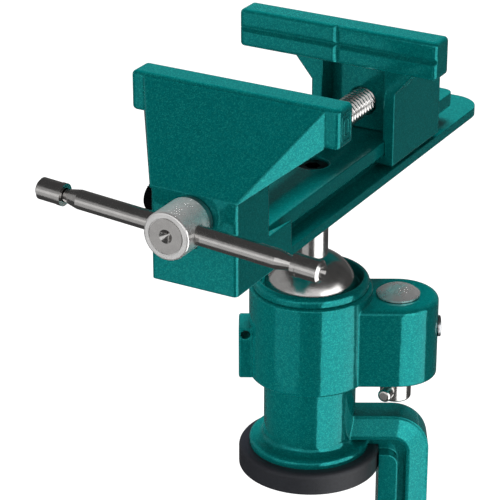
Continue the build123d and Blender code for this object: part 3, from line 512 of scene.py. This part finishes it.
def knurl_tree():
    """Ring of straight ridges round +Z, each a slim bar."""
    tree, given = tree_with_inputs("straight_knurl", ("Radius", "Depth", "Length"), ("Count",))
    ring = add(tree, "GeometryNodeMeshCircle", {"Vertices": given["Count"], "Radius": given["Radius"]})
    bar = add(tree, "GeometryNodeMeshCylinder", {
        "Vertices": 6, "Radius": given["Depth"], "Depth": given["Length"]})
    ridges = add(tree, "GeometryNodeInstanceOnPoints", {
        "Points": ring.outputs[0], "Instance": bar.outputs["Mesh"]})
    end_tree(tree, ridges.outputs[0], given["Material"])
    return tree


def joined(name, *meshes):
    """One mesh from several."""
    shape = bmesh.new()
    for mesh in meshes:
        shape.from_mesh(mesh)
    whole = bpy.data.meshes.new(name)
    shape.to_mesh(whole)
    shape.free()
    return whole


def reshaped(mesh, matrix, move, *sizes):
    """The mesh, each vertex moved in a frame by a function of its place there and of given sizes."""
    inverse = matrix.inverted()
    for vertex in mesh.vertices:
        vertex.co = matrix @ move(inverse @ vertex.co, *sizes)
    return mesh


def narrowed(name, matrix, chosen, radius):
    """Copy of a CAD node whose chosen vertices are drawn in to a radius round a frame's +Z."""
    def draw_in(point):
        across = point.xy.length
        if chosen(across, point.z):
            point.xy *= radius / across
        return point

    return reshaped(merged_copy(name), matrix, draw_in)


def head_frame():
    """Frame of the vise head: x across, y along the bed from the fixed jaw, z up from the underside."""
    along = Vector(JOINTS["jaw_travel"]["axis"])
    upright = Vector((0, 0, 1))
    turn = Matrix((along.cross(upright), along, upright)).transposed().to_4x4()
    underside = Vector((0, 0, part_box("vise_bed")[0].z))
    return Matrix.Translation(underside - STEM_FROM_JAW * along) @ turn


def thread_mesh(tree, material, matrix, low, high, radius, depth, pitch):
    """Thread between two heights of a frame."""
    mesh = plain_mesh(tree, "thread", {
        "Radius": radius, "Depth": depth, "Length": high - low, "Pitch": pitch, "Chamfer": depth,
        "Rows": round((high - low) / pitch * ROWS_PER_TURN), "Columns": THREAD_COLUMNS, "Material": material})
    mesh.transform(matrix @ Matrix.Translation((0, 0, low)))
    return mesh


def rounded_loop(width, height, corner, lift=0.0):
    """Points of a rounded rectangle, its middle lifted over the origin."""
    points = []
    for side_x, side_y, first in ((1, 1, 0), (-1, 1, 90), (-1, -1, 180), (1, -1, 270)):
        for step in range(CORNER_STEPS + 1):
            angle = math.radians(first + 90 * step / CORNER_STEPS)
            points.append((side_x * (width / 2 - corner) + corner * math.cos(angle),
                           side_y * (height / 2 - corner) + corner * math.sin(angle) + lift))
    return points


def raised_band(name, outer, inner, rise):
    """Band between two loops of as many points, raised from the plane z = 0."""
    count = len(outer)
    rings = ((outer, 0.0), (outer, rise), (inner, rise), (inner, 0.0))
    points = [(x, y, z) for loop, z in rings for x, y in loop]
    faces = []
    for ring in range(len(rings) - 1):
        low, high = ring * count, (ring + 1) * count
        for i in range(count):
            j = (i + 1) % count
            faces.append((low + i, low + j, high + j, high + i))
    mesh = bpy.data.meshes.new(name)
    mesh.from_pydata(points, [], faces)
    return mesh


def raised_line(name, width, height, corner, line, rise):
    """Closed raised line that follows a rounded rectangle."""
    inner = rounded_loop(width - 2 * line, height - 2 * line, corner - line)
    return raised_band(name, rounded_loop(width, height, corner), inner, rise)


def pocket_wall(forms, head, nut):
    """Rear wall of the jaw's pocket, plain round the screw, just in front of the nut."""
    front = min(point.y for point in points_in(nut, head))
    screw = head.inverted() @ Vector(JOINTS["screw_turn"]["pos_m"])
    low = forms.rail_top + forms.wall_rise
    high = forms.pocket_top + forms.pocket_rise
    middle = Vector((0, front, (low + high) / 2))
    outer = rounded_loop(2 * forms.wall_half, high - low, forms.wall_rise)
    hole = rounded_loop(2 * forms.wall_hole, 2 * forms.wall_hole, forms.wall_hole, screw.z - middle.z)
    mesh = raised_band("pocket_wall", outer, hole, forms.wall_rise)
    facing_front = Matrix(((1, 0, 0), (0, 0, -1), (0, 1, 0))).to_4x4()
    mesh.transform(head @ Matrix.Translation(middle) @ facing_front)
    return mesh


def bar_end_border(forms, head):
    """Border with an oval in it, on the right end of the fixed jaw's bar."""
    points = node_points("vise_bed", head)
    end = max(point.x for point in points)
    across = [point.y for point in points if point.x > end - BAR_END_BAND]
    upward = [point.z for point in points if point.x > end - BAR_END_BAND]
    middle = Vector((end, (min(across) + max(across)) / 2, (min(upward) + max(upward)) / 2))
    border = raised_line("border", forms.border_width, forms.border_height, forms.border_corner,
                         forms.border_line, forms.border_rise)
    oval = raised_line("oval", forms.oval_width, forms.oval_height, forms.oval_width / 2,
                       forms.border_line, forms.border_rise)
    mesh = joined("bar_end_border", border, oval)
    facing_right = Matrix(((0, 0, 1), (1, 0, 0), (0, 1, 0))).to_4x4()
    mesh.transform(head @ Matrix.Translation(middle) @ facing_right)
    return mesh


def bed_form(point, forms):
    """Lowers the rail and fills the trough in its top."""
    if forms.rail_band_low < point.z < forms.rail_band_high and abs(point.x) < forms.rail_reach:
        if point.z >= forms.trough_level:
            point.z = forms.rail_top
        elif point.y > forms.land_end:
            point.z -= forms.rail_drop
    return point


def jaw_form(point, forms):
    """Fits the slot to the lower rail, raises the pocket, and sets the column back with a higher edge."""
    if point.z < forms.column_foot:
        point.z -= forms.foot_drop
    elif forms.rail_band_low < point.z < forms.rail_band_high:
        point.z -= forms.rail_drop
    elif abs(point.x) < forms.pocket_reach and abs(point.z - forms.pocket_top) < POCKET_TOP_BAND:
        point.z += forms.pocket_rise
    if point.y > forms.column_back and point.z > forms.rear_edge:
        point.z += forms.back_rise
    if point.y > forms.column_front:
        point.y += forms.column_setback + (point.y - forms.column_front) * forms.column_stretch
    return point


def ring_form(point, forms):
    """Opens the ring's top to an upright rim round a well."""
    across = point.xy.length
    if across < forms.well_radius and point.z > forms.well_floor:
        point.xy *= forms.well_radius / across
        point.z = forms.well_floor
    return point


class VISE_OT_castings(bpy.types.Operator):
    """Sprays the castings, after setting the rail, the rear column and the ball's ring"""

    bl_idname = "vise.castings"
    bl_label = "Castings"

    def execute(self, context):
        forms = context.scene.vise_forms
        enamel = flake_enamel()
        coat_nodes(enamel, "clamp_frame")
        ring = reshaped(merged_copy("socket_ring"), Matrix.Identity(4), ring_form, forms)
        soften(ring)
        make_piece("socket_ring_sprayed", ring, "base", "painted_casting", enamel, "socket_ring")
        head = head_frame()

        def spray(name, body, form):
            mesh = reshaped(frame["nodes"][name].data.copy(), head, form, forms)
            make_piece(name + "_sprayed", mesh, body, "painted_casting", enamel, name)
            return mesh

        spray("vise_bed", "head", bed_form)
        spray("moving_jaw", "jaw", jaw_form)
        nut = spray("jaw_nut", "jaw", jaw_form)
        make_piece("pocket_wall", pocket_wall(forms, head, nut), "jaw", "painted_casting", enamel)
        make_piece("bar_end_border", bar_end_border(forms, head), "head", "painted_casting", enamel)
        return {"FINISHED"}


class VISE_OT_foot(bpy.types.Operator):
    """Finishes the rubber foot"""

    bl_idname = "vise.foot"
    bl_label = "Rubber foot"

    def execute(self, context):
        coat_nodes(moulded_rubber(), "rubber_foot")
        return {"FINISHED"}


class VISE_OT_ball(bpy.types.Operator):
    """Finishes the ball, its seat, and the washer and bolt on its stem"""

    bl_idname = "vise.ball"
    bl_label = "Ball and stem"

    def execute(self, context):
        coat_nodes(nickel_plate(), "ball_stud")
        coat_nodes(machined_brass(), "ball_seat")
        coat_nodes(zinc_plate(), "stem_washer", "thrust_washer")
        coat_nodes(black_oxide(), "stem_bolt")
        return {"FINISHED"}


class VISE_OT_lead_screw(bpy.types.Operator):
    """Cuts the lead screw's thread"""

    bl_idname = "vise.lead_screw"
    bl_label = "Lead screw"

    def execute(self, context):
        sizes = context.scene.vise_threads
        plate = nickel_plate()
        matrix = axis_frame(JOINTS["screw_turn"]["pos_m"], JOINTS["screw_turn"]["axis"])
        points = node_points("lead_screw", matrix)
        journal = max(point.xy.length for point in points)
        low = max(point.z for point in points if point.xy.length > journal - CORE_GAP)
        high = max(point.z for point in points)
        radius = max(point.xy.length for point in points if point.z > low + CORE_GAP)
        core = radius - sizes.lead_depth - CORE_GAP
        body = narrowed("lead_screw", matrix, lambda across, z: across > core and z > low + CORE_GAP, core)
        thread = thread_mesh(
            thread_tree(), plate, matrix, low, high, radius, sizes.lead_depth, sizes.lead_pitch)
        mesh = joined("lead_screw_threaded", body, thread)
        soften(mesh)
        make_piece("lead_screw_threaded", mesh, "screw", "chrome", plate, "lead_screw")
        coat_nodes(turned_nickel(), "screw_sleeve")
        return {"FINISHED"}


def cap_form(point, forms):
    """Widens a tommy bar's cap, apart from the middle of its end."""
    across = point.xy.length
    if across > MM:
        point.xy *= min(forms.cap_growth, forms.cap_radius / across)
    return point


class VISE_OT_handles(bpy.types.Operator):
    """Finishes the two tommy bars and their caps"""

    bl_idname = "vise.handles"
    bl_label = "Tommy bars"

    def execute(self, context):
        forms = context.scene.vise_forms
        plate = nickel_plate()
        coat_nodes(plate, "jaw_handle_bar")
        middle = sum(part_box("jaw_handle_bar"), Vector()) / 2
        along_bar = axis_frame(middle, JOINTS["jaw_handle_slide"]["axis"])
        for name in ("jaw_handle_cap_right", "jaw_handle_cap_left"):
            mesh = reshaped(merged_copy(name), along_bar, cap_form, forms)
            soften(mesh)
            make_piece(name + "_turned", mesh, "jaw_handle", "chrome", plate, name)
        coat_nodes(zinc_plate(), "clamp_handle_bar", "clamp_handle_cap_right", "clamp_handle_cap_left")
        return {"FINISHED"}


class VISE_OT_keeper(bpy.types.Operator):
    """Knurls the head of the lead screw's keeper"""

    bl_idname = "vise.keeper"
    bl_label = "Keeper screw"

    def execute(self, context):
        sizes = context.scene.vise_threads
        black = black_oxide()
        middle = sum(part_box("screw_keeper"), Vector()) / 2
        matrix = axis_frame(middle, JOINTS["ball_tilt"]["axis"])
        points = node_points("screw_keeper", matrix)
        radius = max(point.xy.length for point in points)
        heights = [point.z for point in points if point.xy.length > radius - CORE_GAP]
        low, high = min(heights), max(heights)
        core = radius - sizes.knurl_depth
        body = narrowed("screw_keeper", matrix, lambda across, z: across > core, core)
        ridges = plain_mesh(knurl_tree(), "ridges", {
            "Radius": core, "Depth": sizes.knurl_depth, "Length": high - low,
            "Count": sizes.knurl_count, "Material": black})
        ridges.transform(matrix @ Matrix.Translation((0, 0, (high + low) / 2)))
        mesh = joined("keeper_screw_knurled", body, ridges)
        forward = -context.scene.vise_forms.keeper_advance * Vector(JOINTS["jaw_travel"]["axis"])
        mesh.transform(Matrix.Translation(forward))
        soften(mesh)
        make_piece("keeper_screw_knurled", mesh, "head", "black_steel", black, "screw_keeper")
        return {"FINISHED"}


class VISE_OT_lock(bpy.types.Operator):
    """Finishes the lock shaft, its cap, bar, plunger and keeper"""

    bl_idname = "vise.lock"
    bl_label = "Ball lock"

    def execute(self, context):
        coat_nodes(turned_nickel(), "lock_cap")
        coat_nodes(nickel_plate(), "lock_shaft", "lock_bar", "lock_bar_cap_near", "lock_bar_cap_far")
        coat_nodes(zinc_plate(), "lock_plunger", "lock_keeper")
        return {"FINISHED"}


class VISE_OT_clamp(bpy.types.Operator):
    """Cuts the clamp screw's thread and finishes the pad"""

    bl_idname = "vise.clamp"
    bl_label = "Clamp screw"

    def execute(self, context):
        sizes = context.scene.vise_threads
        plate = zinc_plate()
        coat_nodes(plate, "clamp_pad", "pad_retainer")
        matrix = Matrix.Identity(4)
        bar_low, bar_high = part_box("clamp_handle_bar")
        points = node_points("clamp_screw", matrix)
        head_radius = max(point.xy.length for point in points)
        head_reach = (head_radius + bar_high.z - bar_low.z) / 2
        low = max(point.z for point in points if point.xy.length > head_reach)
        above = [point for point in points if point.z > low + CORE_GAP]
        radius = max(point.xy.length for point in above)
        high = max(point.z for point in above if point.xy.length > radius - CORE_GAP)
        core = radius - sizes.clamp_depth - CORE_GAP

        def under_thread(across, z):
            return core < across < radius + CORE_GAP and low - CORE_GAP < z <= high

        body = narrowed("clamp_screw", matrix, under_thread, core)
        thread = thread_mesh(
            thread_tree(), plate, matrix, low, high, radius, sizes.clamp_depth, sizes.clamp_pitch)
        mesh = joined("clamp_screw_threaded", body, thread)
        soften(mesh)
        make_piece("clamp_screw_threaded", mesh, "clamp", "steel", plate, "clamp_screw")
        return {"FINISHED"}


def panel_mesh(name, width, height):
    """Flat rectangle facing -Z."""
    mesh = bpy.data.meshes.new(name)
    corners = [(-width / 2, -height / 2, 0), (width / 2, -height / 2, 0),
               (width / 2, height / 2, 0), (-width / 2, height / 2, 0)]
    mesh.from_pydata(corners, [], [(0, 1, 2, 3)])
    return mesh


def spot_round(azimuth, elevation, distance):
    """Place round the vise: azimuth from the viewer's side towards +X, both in degrees."""
    a, e = math.radians(azimuth), math.radians(elevation)
    return AIM + distance * Vector((math.sin(a) * math.cos(e), -math.cos(a) * math.cos(e), math.sin(e)))


def lamp(name, where, width, height, radiance, gloss):
    """Rectangular lamp that faces the vise: one that shows in gloss, or one that lights the colours."""
    data = bpy.data.lights.new(name, "AREA")
    data.shape = "RECTANGLE"
    data.size = width
    data.size_y = height
    data.energy = radiance * math.pi * width * height
    made = bpy.data.objects.new(name, data)
    bpy.context.scene.collection.objects.link(made)
    made.location = where
    made.rotation_euler = (AIM - where).to_track_quat("-Z", "Y").to_euler()
    made.visible_camera = False
    made.visible_glossy = gloss
    made.visible_diffuse = not gloss


class VISE_OT_studio(bpy.types.Operator):
    """Sets the floor, sky, lamps, cards and camera"""

    bl_idname = "vise.studio"
    bl_label = "Studio"

    def execute(self, context):
        scene = context.scene
        studio = scene.vise_studio
        scene.view_settings.view_transform = "Standard"
        self.floor(scene, studio)
        self.sky(scene, studio)
        for name, azimuth, elevation, distance, width, height, power, gloss in LAMPS:
            where = spot_round(azimuth, elevation, distance)
            lamp(name, where, width, height, getattr(studio, power), gloss)
        for card in CARDS:
            self.card(*card)
        self.camera(scene, studio)
        return {"FINISHED"}

    def floor(self, scene, studio):
        material, tree, shader = new_material("studio_floor", Roughness=0.9, Specular_IOR_Level=0.1)
        shader.inputs["Base Color"].default_value = studio.floor
        glow = add(tree, "ShaderNodeEmission", {"Color": studio.floor, "Strength": FLOOR_GLOW})
        rays = add(tree, "ShaderNodeLightPath")
        seen = add(tree, "ShaderNodeMath", {
            0: rays.outputs["Is Camera Ray"], 1: FLOOR_GLOW_SHARE}, operation="MULTIPLY")
        mix = add(tree, "ShaderNodeMixShader", {
            0: seen.outputs[0], 1: shader.outputs["BSDF"], 2: glow.outputs[0]})
        output = next(n for n in tree.nodes if n.type == "OUTPUT_MATERIAL")
        tree.links.new(mix.outputs[0], output.inputs["Surface"])
        ground = bpy.data.objects.new("floor", panel_mesh("floor", FLOOR_SIZE, FLOOR_SIZE))
        ground.data.materials.append(material)
        ground.location.z = FLOOR_HEIGHT
        scene.collection.objects.link(ground)

    def sky(self, scene, studio):
        scene.world = bpy.data.worlds.new("studio_air")
        scene.world.use_nodes = True
        tree = scene.world.node_tree
        tree.nodes.clear()
        rays = add(tree, "ShaderNodeLightPath")
        shown = add(tree, "ShaderNodeMath", {
            0: rays.outputs["Is Camera Ray"], 1: rays.outputs["Is Glossy Ray"]}, operation="MAXIMUM")
        shown = add(tree, "ShaderNodeMath", {
            0: shown.outputs[0], 1: rays.outputs["Is Transmission Ray"]}, operation="MAXIMUM")
        strength = add(tree, "ShaderNodeMapRange", {
            "Value": shown.outputs[0], "To Min": studio.air, "To Max": 1.0})
        air = add(tree, "ShaderNodeBackground", {
            "Color": hex_colour("#FFFFFF"), "Strength": strength.outputs["Result"]})
        add(tree, "ShaderNodeOutputWorld", {"Surface": air.outputs[0]})

    def card(self, name, where, width, height, facing, radiance):
        """Card that only shows in gloss, as the grey or black boards of a studio do."""
        material = bpy.data.materials.new(name)
        material.use_nodes = True
        material.node_tree.nodes.clear()
        glow = add(material.node_tree, "ShaderNodeEmission", {"Strength": radiance})
        add(material.node_tree, "ShaderNodeOutputMaterial", {"Surface": glow.outputs[0]})
        board = bpy.data.objects.new(name, panel_mesh(name, width, height))
        board.data.materials.append(material)
        board.location = where
        board.rotation_euler = Vector(facing).to_track_quat("-Z", "Y").to_euler()
        bpy.context.scene.collection.objects.link(board)
        board.visible_camera = False
        board.visible_diffuse = False
        board.visible_shadow = False

    def camera(self, scene, studio):
        data = bpy.data.cameras.new("camera")
        data.sensor_width = studio.sensor / MM
        data.lens = studio.focal_pixels / studio.frame_pixels * data.sensor_width
        data.clip_start = CLIP_NEAR
        data.clip_end = CLIP_FAR
        eye = bpy.data.objects.new("camera", data)
        scene.collection.objects.link(eye)
        along = Vector((math.sin(studio.heading) * math.cos(studio.tilt),
                        math.cos(studio.heading) * math.cos(studio.tilt), -math.sin(studio.tilt)))
        eye.location = studio.eye
        eye.rotation_euler = along.to_track_quat("-Z", "Y").to_euler()
        scene.camera = eye


GROUPS = {"vise_finishes": FinishSettings, "vise_threads": ThreadSettings, "vise_forms": FormSettings,
          "vise_studio": StudioSettings}
STEPS = (VISE_OT_castings, VISE_OT_foot, VISE_OT_ball, VISE_OT_lead_screw, VISE_OT_handles, VISE_OT_keeper,
         VISE_OT_lock, VISE_OT_clamp, VISE_OT_studio)


class VISE_PT_build(bpy.types.Panel):
    """Lists the settings and the steps that dress the vise"""

    bl_idname = "VISE_PT_build"
    bl_label = "Ball Joint Vise"
    bl_space_type = "VIEW_3D"
    bl_region_type = "UI"
    bl_category = "Vise"

    def draw(self, context):
        for key in GROUPS:
            group = getattr(context.scene, key)
            for name in group.__annotations__:
                self.layout.prop(group, name)
        for step in STEPS:
            self.layout.operator(step.bl_idname)


def register():
    for made in (*GROUPS.values(), *STEPS, VISE_PT_build):
        bpy.utils.register_class(made)
    for key, group in GROUPS.items():
        setattr(bpy.types.Scene, key, bpy.props.PointerProperty(type=group))


def unregister():
    for key in GROUPS:
        delattr(bpy.types.Scene, key)
    for made in reversed((*GROUPS.values(), *STEPS, VISE_PT_build)):
        bpy.utils.unregister_class(made)


def main():
    """Registers the settings, steps and panel, and runs every step."""
    register()
    for step in STEPS:
        family, name = step.bl_idname.split(".")
        getattr(getattr(bpy.ops, family), name)()


if __name__ == "__main__":
    main()
